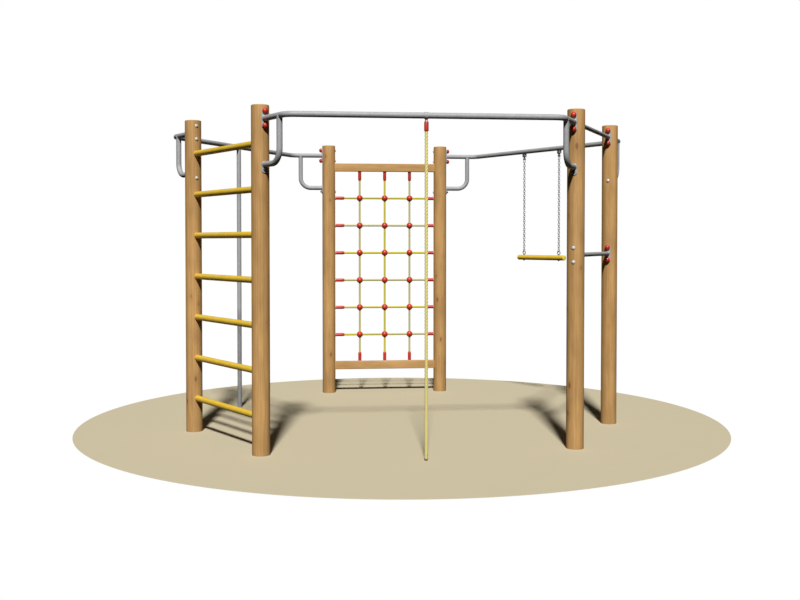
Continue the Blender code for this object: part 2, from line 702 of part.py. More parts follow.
def chain_mesh():
    """A chain's outer shape, with the shackle and pin at each end; the origin is on the upper pin."""
    foot = CHAIN_FOOT_Z - CHAIN_TOP_Z
    closed = CLEVIS[2] - CLEVIS_OPEN / 2
    length = -foot - 2 * closed
    chain = rod("chain_links", CHAIN_RADIUS, length, "Z", (0, 0, foot / 2))
    outer_length = CLEVIS[2] + EYE_RADIUS
    slot_length = CLEVIS_OPEN + PAST
    pin_length = CLEVIS[1] + 2 * CLEVIS_PIN_PROUD
    for label, z, inward in (("top", 0, -1), ("foot", foot, 1)):
        middle = z + inward * (CLEVIS[2] - outer_length / 2)
        join(chain, box(f"shackle_{label}", (CLEVIS[0], CLEVIS[1], outer_length), (0, 0, middle)))
        middle = z + inward * (CLEVIS_OPEN - slot_length / 2)
        cut(chain, box(f"shackle_slot_{label}", (THROUGH, slot_width, slot_length), (0, 0, middle)))
        join(chain, rod(f"shackle_pin_{label}", PIN_RADIUS, pin_length, "Y", (0, 0, z), BOLT_SIDES))
    return baked(chain)


swivel_shape = swivel_mesh()
chain_shape = chain_mesh()
for side_name, x in chain_x.items():
    swivel = shape(swivel_shape.copy(), (x, 0, 0), parent=trapeze_swing, name=f"swivel_{side_name}")
    piece(swivel, f"trapeze_swivel_{side_name}", STEEL)
    sway = empty(f"trapeze_sway_axis_{side_name}", at=(x, 0, CHAIN_TOP_Z - HANGER_PIN_Z), parent=trapeze_swing)
    chain = shape(chain_shape.copy(), parent=sway, name=f"chain_{side_name}")
    piece(chain, f"trapeze_chain_{side_name}", STEEL)

handle_at = (chain_x["left"], 0, CHAIN_FOOT_Z - HANGER_PIN_Z)
handle_axis = empty("trapeze_level_axis", at=handle_at, parent=trapeze_swing)
centre_z = TRAPEZE_Z - CHAIN_FOOT_Z
centre = (TRAPEZE_SPACING / 2, 0, centre_z)
handle = rod("handle_bar", TRAPEZE_RADIUS, TRAPEZE_LENGTH, "X", centre, parent=handle_axis)
hollow_length = TRAPEZE_LENGTH - 2 * TRAPEZE_END_WALL
cut(handle, rod("handle_hollow", TRAPEZE_RADIUS - RUNG_WALL, hollow_length, "X", centre, parent=handle_axis))
drain_inset, drain_radius = TRAPEZE_DRAIN
nut_radius, nut_height = TRAPEZE_NUT
for side_name, side in (("left", -1), ("right", 1)):
    drain_x = centre[0] + side * (TRAPEZE_LENGTH / 2 - drain_inset)
    drain_at = (drain_x, 0, centre_z - TRAPEZE_RADIUS)
    cut(handle, rod(f"handle_drain_{side_name}", drain_radius, PAST, "Z", drain_at, BOLT_SIDES, handle_axis))
    eye_x = centre[0] + side * TRAPEZE_SPACING / 2
    neck_drop = -centre_z - TRAPEZE_RADIUS
    join(handle, eye_plate(f"handle_eye_{side_name}", neck_drop, handle_axis, (eye_x, 0, 0)))
    shank_at = (eye_x, 0, centre_z)
    shank_length = 2 * TRAPEZE_RADIUS
    shank = rod(f"shank_{side_name}", PIN_RADIUS, shank_length, "Z", shank_at, BOLT_SIDES, handle_axis)
    join(handle, shank)
    nut_at = (eye_x, 0, centre_z - TRAPEZE_RADIUS + TRAPEZE_NUT_SUNK - nut_height / 2)
    nut = rod(f"nut_{side_name}", nut_radius, nut_height, "Z", nut_at, BOLT_SIDES, handle_axis)
    join(handle, nut)
    pin_bore = rod(f"pin_bore_{side_name}", eye_bore, THROUGH, "Y", (eye_x, 0, 0), BOLT_SIDES, handle_axis)
    cut(handle, pin_bore)
piece(handle, "trapeze_bar", YELLOW)
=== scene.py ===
"""Looks of a hexagonal climbing frame: timber posts, bent steel bars, ladder, net, rope, trapeze and pole.

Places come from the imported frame, in metres. Each piece is built from lofts, rows of rings that are skinned
over, in a frame of its own (a post's, a panel's, a bay's or a joint's) and rides on one CAD body.
"""

import json
import math

import bpy
from mathutils import Matrix, Quaternion, Vector


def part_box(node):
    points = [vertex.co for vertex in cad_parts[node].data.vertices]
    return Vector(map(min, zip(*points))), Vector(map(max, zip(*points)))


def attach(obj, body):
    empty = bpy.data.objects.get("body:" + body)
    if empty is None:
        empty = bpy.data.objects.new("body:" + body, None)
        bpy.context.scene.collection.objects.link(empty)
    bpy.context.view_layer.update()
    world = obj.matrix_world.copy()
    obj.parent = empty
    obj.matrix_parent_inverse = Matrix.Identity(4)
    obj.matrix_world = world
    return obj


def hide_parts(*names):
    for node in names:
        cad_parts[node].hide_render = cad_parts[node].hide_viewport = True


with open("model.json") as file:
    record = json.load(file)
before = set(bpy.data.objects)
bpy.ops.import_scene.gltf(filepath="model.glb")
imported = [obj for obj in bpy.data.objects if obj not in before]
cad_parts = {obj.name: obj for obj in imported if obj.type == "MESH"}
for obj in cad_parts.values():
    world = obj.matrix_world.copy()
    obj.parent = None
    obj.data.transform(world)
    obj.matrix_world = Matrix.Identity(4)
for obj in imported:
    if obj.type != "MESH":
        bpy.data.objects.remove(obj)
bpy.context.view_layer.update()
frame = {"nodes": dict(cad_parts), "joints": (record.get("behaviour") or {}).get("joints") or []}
UP = Vector((0, 0, 1))

# ---------------------------------------------------------------- camera
camera_data = bpy.data.cameras.new("camera")
camera_data.lens = 45.32
camera_data.sensor_width = 36
camera_data.shift_y = -0.0406
camera = bpy.data.objects.new("camera", camera_data)
camera.location = (-0.9005, -8.6066, 1.521)
CAMERA_YAW = math.radians(-5.90)
camera.rotation_euler = (math.radians(90 - 1.415), 0, CAMERA_YAW)
bpy.context.scene.collection.objects.link(camera)
bpy.context.scene.camera = camera

# ---------------------------------------------------------------- driving dimensions
POST_RADIUS = 0.065
POST_ROUND = 0.007
FLANGE_THICK = 0.006
FLANGE_WIDTH = 0.045
FLANGE_HEIGHT = 0.138
FLANGE_CORNER = 0.018
FLANGE_FACE = POST_RADIUS + FLANGE_THICK
LUG_RADIUS = 0.023

BAR_RADIUS = 0.0212
BAR_CORNER = 0.3695  # from a post's axis to where the bar's two centre lines meet
BAR_BEND = 0.100
HANDLE_REACH = 0.282
HANDLE_Z = 2.074
HANDLE_BEND = 0.100
CROSS_RADIUS = 0.01685
BEAD_RADIUS = 0.0030  # of a weld
PLATE_STEPS = 14  # each side of the middle of a bent plate

CAP_RADIUS = 0.0210
CAP_HEIGHT = 0.0260
DOME_RADIUS = 0.0135
DOME_HEIGHT = 0.0085
NUT_RADIUS = 0.0106
NUT_HEIGHT = 0.0095

RUNG_RADIUS = 0.024
RAIL_HEIGHT = 0.080
RAIL_THICK = 0.056
RAIL_ROUND = 0.005
NET_ROPE_RADIUS = 0.010
BALL_RADIUS = 0.031
FERRULE_RADIUS = 0.0165
FERRULE_LENGTH = 0.090

ROPE_RADIUS = 0.012
WIRE_RADIUS = 0.0026  # of a chain link
LINK_WIDTH = 0.0230  # outside
LINK_PITCH = 0.0203
CHAIN_TURN = math.radians(-18)  # of the links about the chain, from the bay's planes
BOW_RADIUS = 0.0030
BOW_DROP = 0.038  # from a shackle's pin to the middle of its bow
EYE_RADIUS = 0.0165  # of the ring on the trapeze bar
EYE_WIRE = 0.0045
EYE_PLATE = 0.0092  # radius of a flat eye
EYE_THICK = 0.008  # of a flat eye
TRAPEZE_RADIUS = 0.024

# ---------------------------------------------------------------- places, from the frame
PANELS = {
    "left": ("left", "front_left"),
    "right": ("front_right", "right"),
    "back": ("back_right", "back_left"),
}
BAYS = {
    "front": ("front_left", "front_right"),
    "back_right": ("right", "back_right"),
    "back_left": ("back_left", "left"),
}


def middle(node):
    low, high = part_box(node)
    return (low + high) / 2


def frame_at(origin, x, y):
    """A placing matrix with that origin and those X and Y directions."""
    z = x.cross(y)
    return Matrix((
        (x.x, y.x, z.x, origin.x),
        (x.y, y.y, z.y, origin.y),
        (x.z, y.z, z.z, origin.z),
        (0, 0, 0, 1),
    ))  # fmt: skip


def flat(point, z=0.0):
    return Vector((point.x, point.y, z))


joints = {joint["name"]: Vector(joint["pos_m"]) for joint in frame["joints"]}
post_axis = {name: flat(middle(f"post_{name}")) for pair in PANELS.values() for name in pair}
post_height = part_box("post_left")[1].z
outward = {}  # of each post, away from the other post of its panel
for first, second in PANELS.values():
    outward[first] = (post_axis[first] - post_axis[second]).normalized()
    outward[second] = -outward[first]
BAR_Z = middle("pull_up_bar_upper").z
CROSS_Z = {"upper": BAR_Z, "lower": middle("pull_up_bar_lower").z}


def post_frame(name, z=0.0, side=1):
    """Origin on a post's axis at that height, +X outwards, or inwards for side -1, and +Z up."""
    x = outward[name] * side
    return frame_at(post_axis[name] + UP * z, x, UP.cross(x))


def panel_frame(name, z=0.0):
    """Origin mid-way between a panel's posts, +X towards its first post and +Z up."""
    first, second = PANELS[name]
    x = outward[first]
    return frame_at((post_axis[first] + post_axis[second]) / 2 + UP * z, x, UP.cross(x))


def bay_frame(name, at):
    """Origin at a place, +X along the bay from its first post to its second and +Z up."""
    first, second = BAYS[name]
    x = (post_axis[second] - post_axis[first]).normalized()
    return frame_at(at, x, UP.cross(x))


# ---------------------------------------------------------------- shapes
class Shape:
    """Closed shells, each skinned over a row of rings."""

    def __init__(self):
        self.points = []
        self.faces = []

    def loft(self, rings, closed=False, place=None):
        """Adds a shell. A closed row joins its last ring to its first, and an open one is capped."""
        start = len(self.points)
        count = len(rings[0])
        moved = place or Matrix.Identity(4)
        self.points += [moved @ Vector(point) for ring in rings for point in ring]
        for row in range(len(rings) if closed else len(rings) - 1):
            here = start + row * count
            there = start + (row + 1) % len(rings) * count
            for spot in range(count):
                after = (spot + 1) % count
                self.faces.append((here + spot, here + after, there + after, there + spot))
        if not closed:
            last = start + (len(rings) - 1) * count
            self.faces.append(tuple(reversed(range(start, start + count))))
            self.faces.append(tuple(range(last, last + count)))
        return self

    def turn(self, profile, sides=48, place=None, closed=False):
        """Adds a profile of (radius, height) points turned about Z."""
        return self.loft([circle(radius, sides, z) for radius, z in profile], closed, place)

    def tube(self, path, radius, sides=32, closed=False, place=None):
        return self.loft(tube_rings(path, radius, sides, closed), closed, place)

    def plate(self, outline, thickness, place=None):
        """Adds an outline in XY, given a thickness about Z, with its edges eased."""
        ease = thickness * 0.12
        half = thickness / 2
        inner = inset(outline, ease)
        rings = [
            [(x, y, z) for x, y in loop]
            for loop, z in ((inner, -half), (outline, ease - half), (outline, half - ease), (inner, half))
        ]
        return self.loft(rings, place=place)


def circle(radius, sides, z=0.0):
    turns = (2 * math.pi * step / sides for step in range(sides))
    return [(radius * math.cos(turn), radius * math.sin(turn), z) for turn in turns]


def inset(outline, by):
    """A convex outline drawn in towards its middle by about that much."""
    centre = sum((Vector(point) for point in outline), Vector((0, 0))) / len(outline)
    drawn = []
    for point in outline:
        away = Vector(point) - centre
        drawn.append(tuple(centre + away * (1 - by / away.length)))
    return drawn


def transported(path, closed=False):
    """Tangent and side of each point of a path, carried along it with no twist; a closed path meets up."""
    count = len(path)
    tangents = []
    for spot in range(count):
        before = path[spot - 1] if closed or spot else path[0]
        after = path[(spot + 1) % count] if closed or spot < count - 1 else path[-1]
        tangents.append((after - before).normalized())
    sides = [tangents[0].orthogonal().normalized()]
    for before, after in zip(tangents, tangents[1:]):
        side = before.rotation_difference(after) @ sides[-1]
        sides.append((side - after * side.dot(after)).normalized())
    if closed:
        end = tangents[-1].rotation_difference(tangents[0]) @ sides[-1]
        slip = math.atan2(end.cross(sides[0]).dot(tangents[0]), end.dot(sides[0]))
        sides = [Quaternion(tangent, slip * spot / count) @ side
                 for spot, (tangent, side) in enumerate(zip(tangents, sides))]  # fmt: skip
    return list(zip(tangents, sides))


def tube_rings(path, radius, sides, closed=False):
    """Rings round a path. The radius is a number, or a function of a point's number and the angle."""
    rings = []
    for spot, (point, (tangent, side)) in enumerate(zip(path, transported(path, closed))):
        over = tangent.cross(side)
        ring = []
        for step in range(sides):
            angle = 2 * math.pi * step / sides
            reach = radius(spot, angle) if callable(radius) else radius
            ring.append(point + (side * math.cos(angle) + over * math.sin(angle)) * reach)
        rings.append(ring)
    return rings


def rounded_path(corners, radius, steps=14):
    """Straight runs between corner points, with each inner corner rounded to an arc."""
    path = [corners[0]]
    for before, corner, after in zip(corners, corners[1:], corners[2:]):
        back = (before - corner).normalized()
        ahead = (after - corner).normalized()
        half = back.angle(ahead) / 2
        centre = corner + (back + ahead).normalized() * radius / math.sin(half)
        first = (corner + back * radius / math.tan(half) - centre).normalized()
        last = (corner + ahead * radius / math.tan(half) - centre).normalized()
        path += [centre + first.slerp(last, step / steps) * radius for step in range(steps + 1)]
    return path + [corners[-1]]


def arc(centre, radius, start, end, steps):
    """Points of an arc in two dimensions, angles in degrees."""
    turns = (math.radians(start + (end - start) * step / steps) for step in range(steps + 1))
    return [(centre[0] + radius * math.cos(turn), centre[1] + radius * math.sin(turn)) for turn in turns]


def stadium(radius, length, steps=14):
    """Outline with round ends about (0, 0) and (0, -length)."""
    return arc((0, 0), radius, 0, 180, steps) + arc((0, -length), radius, 180, 360, steps)


def rounded_box(width, height, radius, steps=5):
    """Outline of a rectangle about the origin with round corners."""
    x, y = width / 2 - radius, height / 2 - radius
    corners = ((x, y, 0), (-x, y, 90), (-x, -y, 180), (x, -y, 270))
    return [point for cx, cy, start in corners for point in arc((cx, cy), radius, start, start + 90, steps)]


def rope_path(start, end, step):
    count = round((end - start).length / step)
    return [start.lerp(end, spot / count) for spot in range(count + 1)]


def laid(radius, strands, groove, lay, step):
    """The radius of a laid rope: strands wound once round it in each lay, with grooves between them."""
    twist = 2 * math.pi * step / lay

    def reach(spot, angle):
        ridge = abs(math.cos(strands * (angle - twist * spot) / 2)) ** 0.8
        return radius * (1 - groove * (1 - ridge))

    return reach


def bead(shape, path, place):
    """Adds a weld bead on a closed path, rippled as a weld is."""
    ripples = max(12, round(len(path) / 3))

    def reach(spot, _):
        return BEAD_RADIUS * (1 + 0.10 * math.sin(2 * math.pi * ripples * spot / len(path)))

    shape.tube(path, reach, 10, closed=True, place=place)


# ---------------------------------------------------------------- materials
class Surface:
    """A Principled material whose colour, roughness and bump come from patterns in the piece's own space."""

    def __init__(self, name, roughness, metallic=0.0, **sockets):
        self.material = bpy.data.materials.new(name)
        self.material.use_nodes = True
        self.tree = self.material.node_tree
        self.shader = self.tree.nodes["Principled BSDF"]
        self.shader.inputs["Roughness"].default_value = roughness
        self.shader.inputs["Metallic"].default_value = metallic
        for socket, value in sockets.items():
            self.shader.inputs[socket.replace("_", " ")].default_value = value
        self.space = self.node("ShaderNodeTexCoord").outputs["Object"]

    def node(self, kind, inputs=(), **settings):
        made = self.tree.nodes.new(kind)
        for setting, value in settings.items():
            setattr(made, setting, value)
        for socket, value in dict(inputs).items():
            if isinstance(value, bpy.types.NodeSocket):
                self.tree.links.new(value, made.inputs[socket])
            else:
                made.inputs[socket].default_value = value
        return made

    def stretched(self, scale, offset=(0, 0, 0)):
        """The piece's space, scaled along each axis and moved."""
        inputs = {"Vector": self.space, "Scale": scale, "Location": offset}
        return self.node("ShaderNodeMapping", inputs).outputs["Vector"]

    def noise(self, space, scale=1.0, detail=3.0, distortion=0.0):
        inputs = {"Vector": space, "Scale": scale, "Detail": detail, "Distortion": distortion}
        return self.node("ShaderNodeTexNoise", inputs).outputs["Fac"]

    def cells(self, space, scale, output):
        inputs = {"Vector": space, "Scale": scale}
        return self.node("ShaderNodeTexVoronoi", inputs).outputs[output]

    def between(self, value, low, high, to_low=0.0, to_high=1.0):
        """The value with low to high stretched to cover to_low to to_high."""
        inputs = {"Value": value, "From Min": low, "From Max": high, "To Min": to_low, "To Max": to_high}
        return self.node("ShaderNodeMapRange", inputs).outputs["Result"]

    def ramp(self, value, stops):
        """Colours against a value, from (place, colour) stops."""
        made = self.node("ShaderNodeValToRGB", {"Fac": value})
        elements = made.color_ramp.elements
        while len(elements) < len(stops):
            elements.new(1.0)
        for element, (place, colour) in zip(elements, stops):
            element.position = place
            element.color = (*colour, 1.0)
        return made.outputs["Color"]

    def mix(self, factor, first, second, blend="MIX"):
        """Two colours mixed; a plain colour is three numbers."""
        inputs = {"Fac": factor}
        for socket, value in (("Color1", first), ("Color2", second)):
            inputs[socket] = (*value, 1.0) if isinstance(value, tuple) else value
        return self.node("ShaderNodeMixRGB", inputs, blend_type=blend).outputs["Color"]

    def shaded(self, colour, value):
        """A colour brightened or darkened by a value about 1."""
        channels = {"Red": value, "Green": value, "Blue": value}
        grey = self.node("ShaderNodeCombineColor", channels).outputs["Color"]
        return self.mix(1.0, colour, grey, "MULTIPLY")

    def finish(self, colour, roughness=None, height=None, depth=0.0005, strength=0.5):
        """Links the patterns to the shader. The height is a bump of that depth in metres."""
        self.tree.links.new(colour, self.shader.inputs["Base Color"])
        if roughness is not None:
            self.tree.links.new(roughness, self.shader.inputs["Roughness"])
        if height is not None:
            bump = self.node("ShaderNodeBump", {"Height": height, "Distance": depth, "Strength": strength})
            self.tree.links.new(bump.outputs["Normal"], self.shader.inputs["Normal"])
        return self.material


def timber(name, seed):
    """Planed, oiled softwood with its grain along Z: rings about an off-centre pith, fibres and knots."""
    surface = Surface(name, 0.62, Specular_IOR_Level=0.3)
    off_centre = 0.021
    pith = (off_centre * math.cos(seed), off_centre * math.sin(seed), 1.7 * seed)
    growth = {
        "Vector": surface.stretched((1, 1, 0.06), pith),
        "Scale": 58,
        "Distortion": 6,
        "Detail": 2.5,
        "Detail Scale": 0.7,
        "Detail Roughness": 0.55,
    }
    wave = surface.node("ShaderNodeTexWave", growth, wave_type="RINGS", rings_direction="Z")
    rings = wave.outputs["Fac"]
    early, middling, late = (0.555, 0.322, 0.120), (0.540, 0.308, 0.112), (0.490, 0.268, 0.090)
    grain = surface.ramp(rings, ((0.0, early), (0.55, middling), (1.0, late)))
    fibres = surface.noise(surface.stretched((190, 190, 5), pith), detail=4)
    mottle = surface.noise(surface.stretched((11, 11, 3.2), pith), detail=3)
    grain = surface.shaded(grain, surface.between(fibres, 0.3, 0.7, 0.93, 1.06))
    grain = surface.shaded(grain, surface.between(mottle, 0.3, 0.7, 0.82, 1.15))
    knots = surface.cells(surface.stretched((9, 9, 4.2), (seed, 2 * seed, 3 * seed)), 1.0, "Distance")
    halo = surface.between(knots, 0.12, 0.34, 0.45, 0.0)
    halo_brown, heart_brown = (0.42, 0.215, 0.075), (0.22, 0.095, 0.030)
    grain = surface.mix(halo, grain, halo_brown)
    heart = surface.between(knots, 0.07, 0.13, 0.75, 0.0)
    grain = surface.mix(heart, grain, heart_brown)
    roughness = surface.between(fibres, 0.2, 0.8, 0.55, 0.72)
    ring_height = 0.35  # against that of the fibres
    relief = surface.node("ShaderNodeMath", {0: rings, 1: ring_height, 2: fibres}, operation="MULTIPLY_ADD")
    return surface.finish(grain, roughness, relief.outputs["Value"], depth=0.0007, strength=0.35)


def galvanised(name, grey=0.50, spangle=0.10, roughness=0.42, metallic=0.55):
    """Hot-dip galvanised steel: spangle and dull patches, with a fine bump."""
    surface = Surface(name, roughness, metallic)
    crystals = surface.cells(surface.space, 130, "Color")
    level = surface.node("ShaderNodeSeparateColor", {"Color": crystals}).outputs["Red"]
    dull = surface.noise(surface.space, 9, 4)
    shade = surface.between(level, 0, 1, 1 - spangle, 1 + spangle)
    colour = surface.ramp(dull, ((0.3, (grey * 0.93, grey * 0.94, grey * 0.96)), (0.7, (grey * 1.06,) * 3)))
    colour = surface.shaded(colour, shade)
    worn = surface.between(dull, 0.3, 0.7, roughness - 0.07, roughness + 0.10)
    height = surface.noise(surface.space, 220, 3)
    return surface.finish(colour, worn, height, depth=0.0003, strength=0.25)


def coated(name, colour, roughness, grain, worn, coat=0.0):
    """A coat of colour or moulded plastic: fine orange peel, and slightly paler or darker patches."""
    surface = Surface(name, roughness, Coat_Weight=coat, Coat_Roughness=0.15)
    patches = surface.noise(surface.space, 14, 4)
    shade = surface.between(patches, 0.3, 0.7, 1 - worn, 1 + worn * 0.5)
    paler = tuple(min(1.0, channel * 1.05 + 0.004) for channel in colour)
    tint = surface.mix(surface.between(patches, 0.35, 0.75), colour, paler)
    peel = surface.noise(surface.space, grain, 2)
    gloss = surface.between(patches, 0.3, 0.7, roughness - 0.04, roughness + 0.08)
    return surface.finish(surface.shaded(tint, shade), gloss, peel, depth=0.0003, strength=0.3)


def fibre(name, colour, shade_between_yarns):
    """Laid rope: fine yarns and the odd darker, handled stretch."""
    surface = Surface(name, 0.85, Sheen_Weight=0.25, Sheen_Roughness=0.5)
    yarns = surface.noise(surface.stretched((420, 420, 150)), detail=3)
    handled = surface.noise(surface.stretched((8, 8, 3)), detail=3)
    darker = tuple(channel * 0.86 for channel in colour)
    tint = surface.mix(surface.between(handled, 0.35, 0.7), colour, darker)
    shade = surface.between(yarns, 0.3, 0.7, 1 - shade_between_yarns, 1.06)
    return surface.finish(surface.shaded(tint, shade), None, yarns, depth=0.0008, strength=0.6)


STEEL = galvanised("galvanised_tube", grey=0.385, metallic=0.05, roughness=0.62)
WELD = galvanised("galvanised_weld", grey=0.46, spangle=0.16, roughness=0.55)
DOME_STEEL = galvanised("polished_head", grey=0.66, spangle=0.03, roughness=0.30, metallic=0.10)
CHAIN_STEEL = galvanised("galvanised_chain", grey=0.36, spangle=0.08, roughness=0.36, metallic=0.75)
# painted shade: the handle bolts' nut, washer and bolt tip are near-black steel (grey 0.10) to stand for the
# shade they sit in under the loop's end, not a dark finish of the steel
PAINTED_SHADE_NUT_STEEL = galvanised("nut_painted_shade", grey=0.10, spangle=0.05, roughness=0.45, metallic=0.6)
YELLOW = coated("yellow_coating", (0.82, 0.545, 0.052), 0.36, 900, 0.05, coat=0.25)
YELLOW_CAP = coated("yellow_plug", (0.84, 0.62, 0.10), 0.50, 700, 0.04)
RED = coated("red_moulding", (0.58, 0.036, 0.016), 0.38, 800, 0.06, coat=0.10)
NET_FIBRE = fibre("net_fibre", (0.66, 0.58, 0.045), 0.20)
ROPE_FIBRE = fibre("rope_fibre", (0.86, 0.76, 0.24), 0.16)


# ---------------------------------------------------------------- pieces
def piece(name, shape, material, nodes=(), body="frame", place=None, bevel=0.0, sharp=40):
    """Makes a shape into a piece that rides on a body and stands for those CAD nodes."""
    mesh = bpy.data.meshes.new(name)
    mesh.from_pydata([tuple(point) for point in shape.points], [], shape.faces)
    mesh.validate()
    mesh.materials.append(material)
    mesh.shade_smooth()
    mesh.set_sharp_from_angle(angle=math.radians(sharp))
    made = bpy.data.objects.new(name, mesh)
    made.matrix_world = place or Matrix.Identity(4)
    bpy.context.scene.collection.objects.link(made)
    if bevel:
        eased = made.modifiers.new("eased_edges", "BEVEL")
        eased.width = bevel
        eased.segments = 2
        eased.limit_method = "ANGLE"
        eased.angle_limit = math.radians(sharp)
    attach(made, body)
    if nodes:
        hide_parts(*nodes)
    return made


def make_posts():
    for seed, (name, axis) in enumerate(post_axis.items()):
        side = arc((POST_RADIUS - POST_ROUND, post_height - POST_ROUND), POST_ROUND, 0, 90, 6)
        heights = [post_height * step / 24 for step in range(24)]
        profile = [(POST_RADIUS, z) for z in heights] + side + [(POST_RADIUS * 0.45, post_height)]
        post = Shape().turn(profile, 96)
        wood = timber(f"timber_{name}", 1.0 + 1.3 * seed)
        piece(f"post_{name}_timber", post, wood, [f"post_{name}"], place=Matrix.Translation(axis))


def curved_plate(shape, outline, place):
    """Adds a plate bent round a post. The outline gives (low, high) for each place across the post."""
    rings = []
    for across, (low, high) in outline:
        turn = across / POST_RADIUS
        inside = (POST_RADIUS * math.cos(turn), POST_RADIUS * math.sin(turn))
        outside = (FLANGE_FACE * math.cos(turn), FLANGE_FACE * math.sin(turn))
        rings.append([(*inside, low), (*outside, low), (*outside, high), (*inside, high)])
    shape.loft(rings, place=place)


def flange_outline():
    half, high = FLANGE_WIDTH / 2, FLANGE_HEIGHT / 2
    found = []
    for step in range(-PLATE_STEPS, PLATE_STEPS + 1):
        across = half * math.sin(math.pi / 2 * step / PLATE_STEPS)
        past = max(0.0, abs(across) - (half - FLANGE_CORNER))
        reach = high - FLANGE_CORNER + math.sqrt(max(0.0, FLANGE_CORNER**2 - past**2))
        found.append((across, (-reach, reach)))
    return found


def lug_outline(rise):
    """The lower lug: round below the bolt, and round above the tube's end that it closes."""
    short_of_edge = 0.998  # keeps the square root real at the plate's very edge
    found = []
    for step in range(-PLATE_STEPS, PLATE_STEPS + 1):
        across = LUG_RADIUS * math.sin(math.pi / 2 * step / PLATE_STEPS) * short_of_edge
        reach = math.sqrt(LUG_RADIUS**2 - across**2)
        found.append((across, (-reach, rise + reach)))
    return found


def ring_on_plate(radius, steps=72):
    """Closed path where a round bar along X meets a post's curved plate."""
    path = []
    for step in range(steps):
        angle = 2 * math.pi * step / steps
        across, rise = radius * math.cos(angle), radius * math.sin(angle)
        path.append(Vector((math.sqrt(FLANGE_FACE**2 - across**2), across, rise)))
    return path


def ring_under_bar(radius, bar_radius, steps=72):
    """Closed path where an upright bar meets the underside of a bar along X, about the bar's middle."""
    path = []
    for step in range(steps):
        angle = 2 * math.pi * step / steps
        x, y = radius * math.cos(angle), radius * math.sin(angle)
        path.append(Vector((x, y, -math.sqrt(max(0.0, bar_radius**2 - y**2)))))
    return path


def make_overhead_bars():
    for name, pair in BAYS.items():
        tubes, plates, welds = Shape(), Shape(), Shape()
        start = POST_RADIUS + FLANGE_THICK / 2
        left, right = (post_axis[post] + UP * BAR_Z for post in pair)
        out_left, out_right = (outward[post] for post in pair)
        corners = [
            left + out_left * start,
            left + out_left * BAR_CORNER,
            right + out_right * BAR_CORNER,
            right + out_right * start,
        ]
        tubes.tube(rounded_path(corners, BAR_BEND), BAR_RADIUS, 40)
        handle_bolt_z = middle(f"bolt_{pair[0]}_handle").z
        for post in pair:
            at_bar = post_frame(post, BAR_Z)
            at_handle = post_frame(post, HANDLE_Z)
            drop = HANDLE_Z - BAR_Z
            top = -0.004  # inside the bar
            loop = [Vector((HANDLE_REACH, 0, top)), Vector((HANDLE_REACH, 0, drop)), Vector((start, 0, drop))]
            tubes.tube(rounded_path(loop, HANDLE_BEND), BAR_RADIUS, 40, place=at_bar)
            curved_plate(plates, flange_outline(), at_bar)
            curved_plate(plates, lug_outline(HANDLE_Z - handle_bolt_z), post_frame(post, handle_bolt_z))
            bead(welds, ring_on_plate(BAR_RADIUS), at_bar)
            bead(welds, ring_on_plate(BAR_RADIUS), at_handle)
            at_loop = at_bar @ Matrix.Translation((HANDLE_REACH, 0, 0))
            bead(welds, ring_under_bar(BAR_RADIUS, BAR_RADIUS), at_loop)
        node = f"overhead_bar_{name}"
        piece(f"{node}_tube", tubes, STEEL, [node])
        piece(f"{node}_plates", plates, STEEL, bevel=0.0012)
        piece(f"{node}_welds", welds, WELD)


def make_pull_up_bars():
    first, second = PANELS["right"]
    foot = Vector((POST_RADIUS + FLANGE_THICK / 2, 0, 0))
    for name, z in CROSS_Z.items():
        ends = [post_frame(post, z, -1) @ foot for post in (first, second)]
        tube = Shape().tube([ends[0].lerp(ends[1], step / 8) for step in range(9)], CROSS_RADIUS, 36)
        plates, welds = Shape(), Shape()
        for post in (first, second):
            place = post_frame(post, z, -1)
            curved_plate(plates, flange_outline(), place)
            bead(welds, ring_on_plate(CROSS_RADIUS), place)
        node = f"pull_up_bar_{name}"
        piece(f"{node}_tube", tube, STEEL, [node])
        piece(f"{node}_plates", plates, STEEL, bevel=0.0012)
        piece(f"{node}_welds", welds, WELD)


# ---------------------------------------------------------------- bolts
def bulge(radius, low, high):
    """Profile of a round top, from its rim at the low height nearly to its middle at the high one."""
    turns = [math.radians(angle) for angle in range(0, 89, 8)]
    return [(radius * math.cos(turn), low + (high - low) * math.sin(turn)) for turn in turns]


def cap_profile():
    """A snap-on cap on its washer ring, from where it bears."""
    ring = [(0.0200, 0), (CAP_RADIUS, 0.0010), (CAP_RADIUS, 0.0052), (0.0204, 0.0060), (0.0196, 0.0062)]
    seat = 0.0082
    neck = [(0.0197, 0.0072)]
    return ring + neck + bulge(0.0205, seat, CAP_HEIGHT) + [(0.0002, CAP_HEIGHT)]


def dome_profile():
    edge = 0.0012
    return [(DOME_RADIUS - 0.0006, 0)] + bulge(DOME_RADIUS, edge, DOME_HEIGHT) + [(0.0002, DOME_HEIGHT)]


def hexagon(shape, radius, height, place):
    """Adds a nut or bolt head with its corners chamfered at the top."""
    chamfered, shoulder = radius * 0.90, height * 0.86
    shape.loft([circle(radius, 6, 0), circle(radius, 6, shoulder), circle(chamfered, 6, height)], place=place)


def bolt_place(post, z, face, side):
    """Origin on a face of a post, with +Z along the bolt, away from the post."""
    out = outward[post] * side
    across = UP.cross(out)
    return frame_at(post_axis[post] + out * face + UP * z, across, out.cross(across))


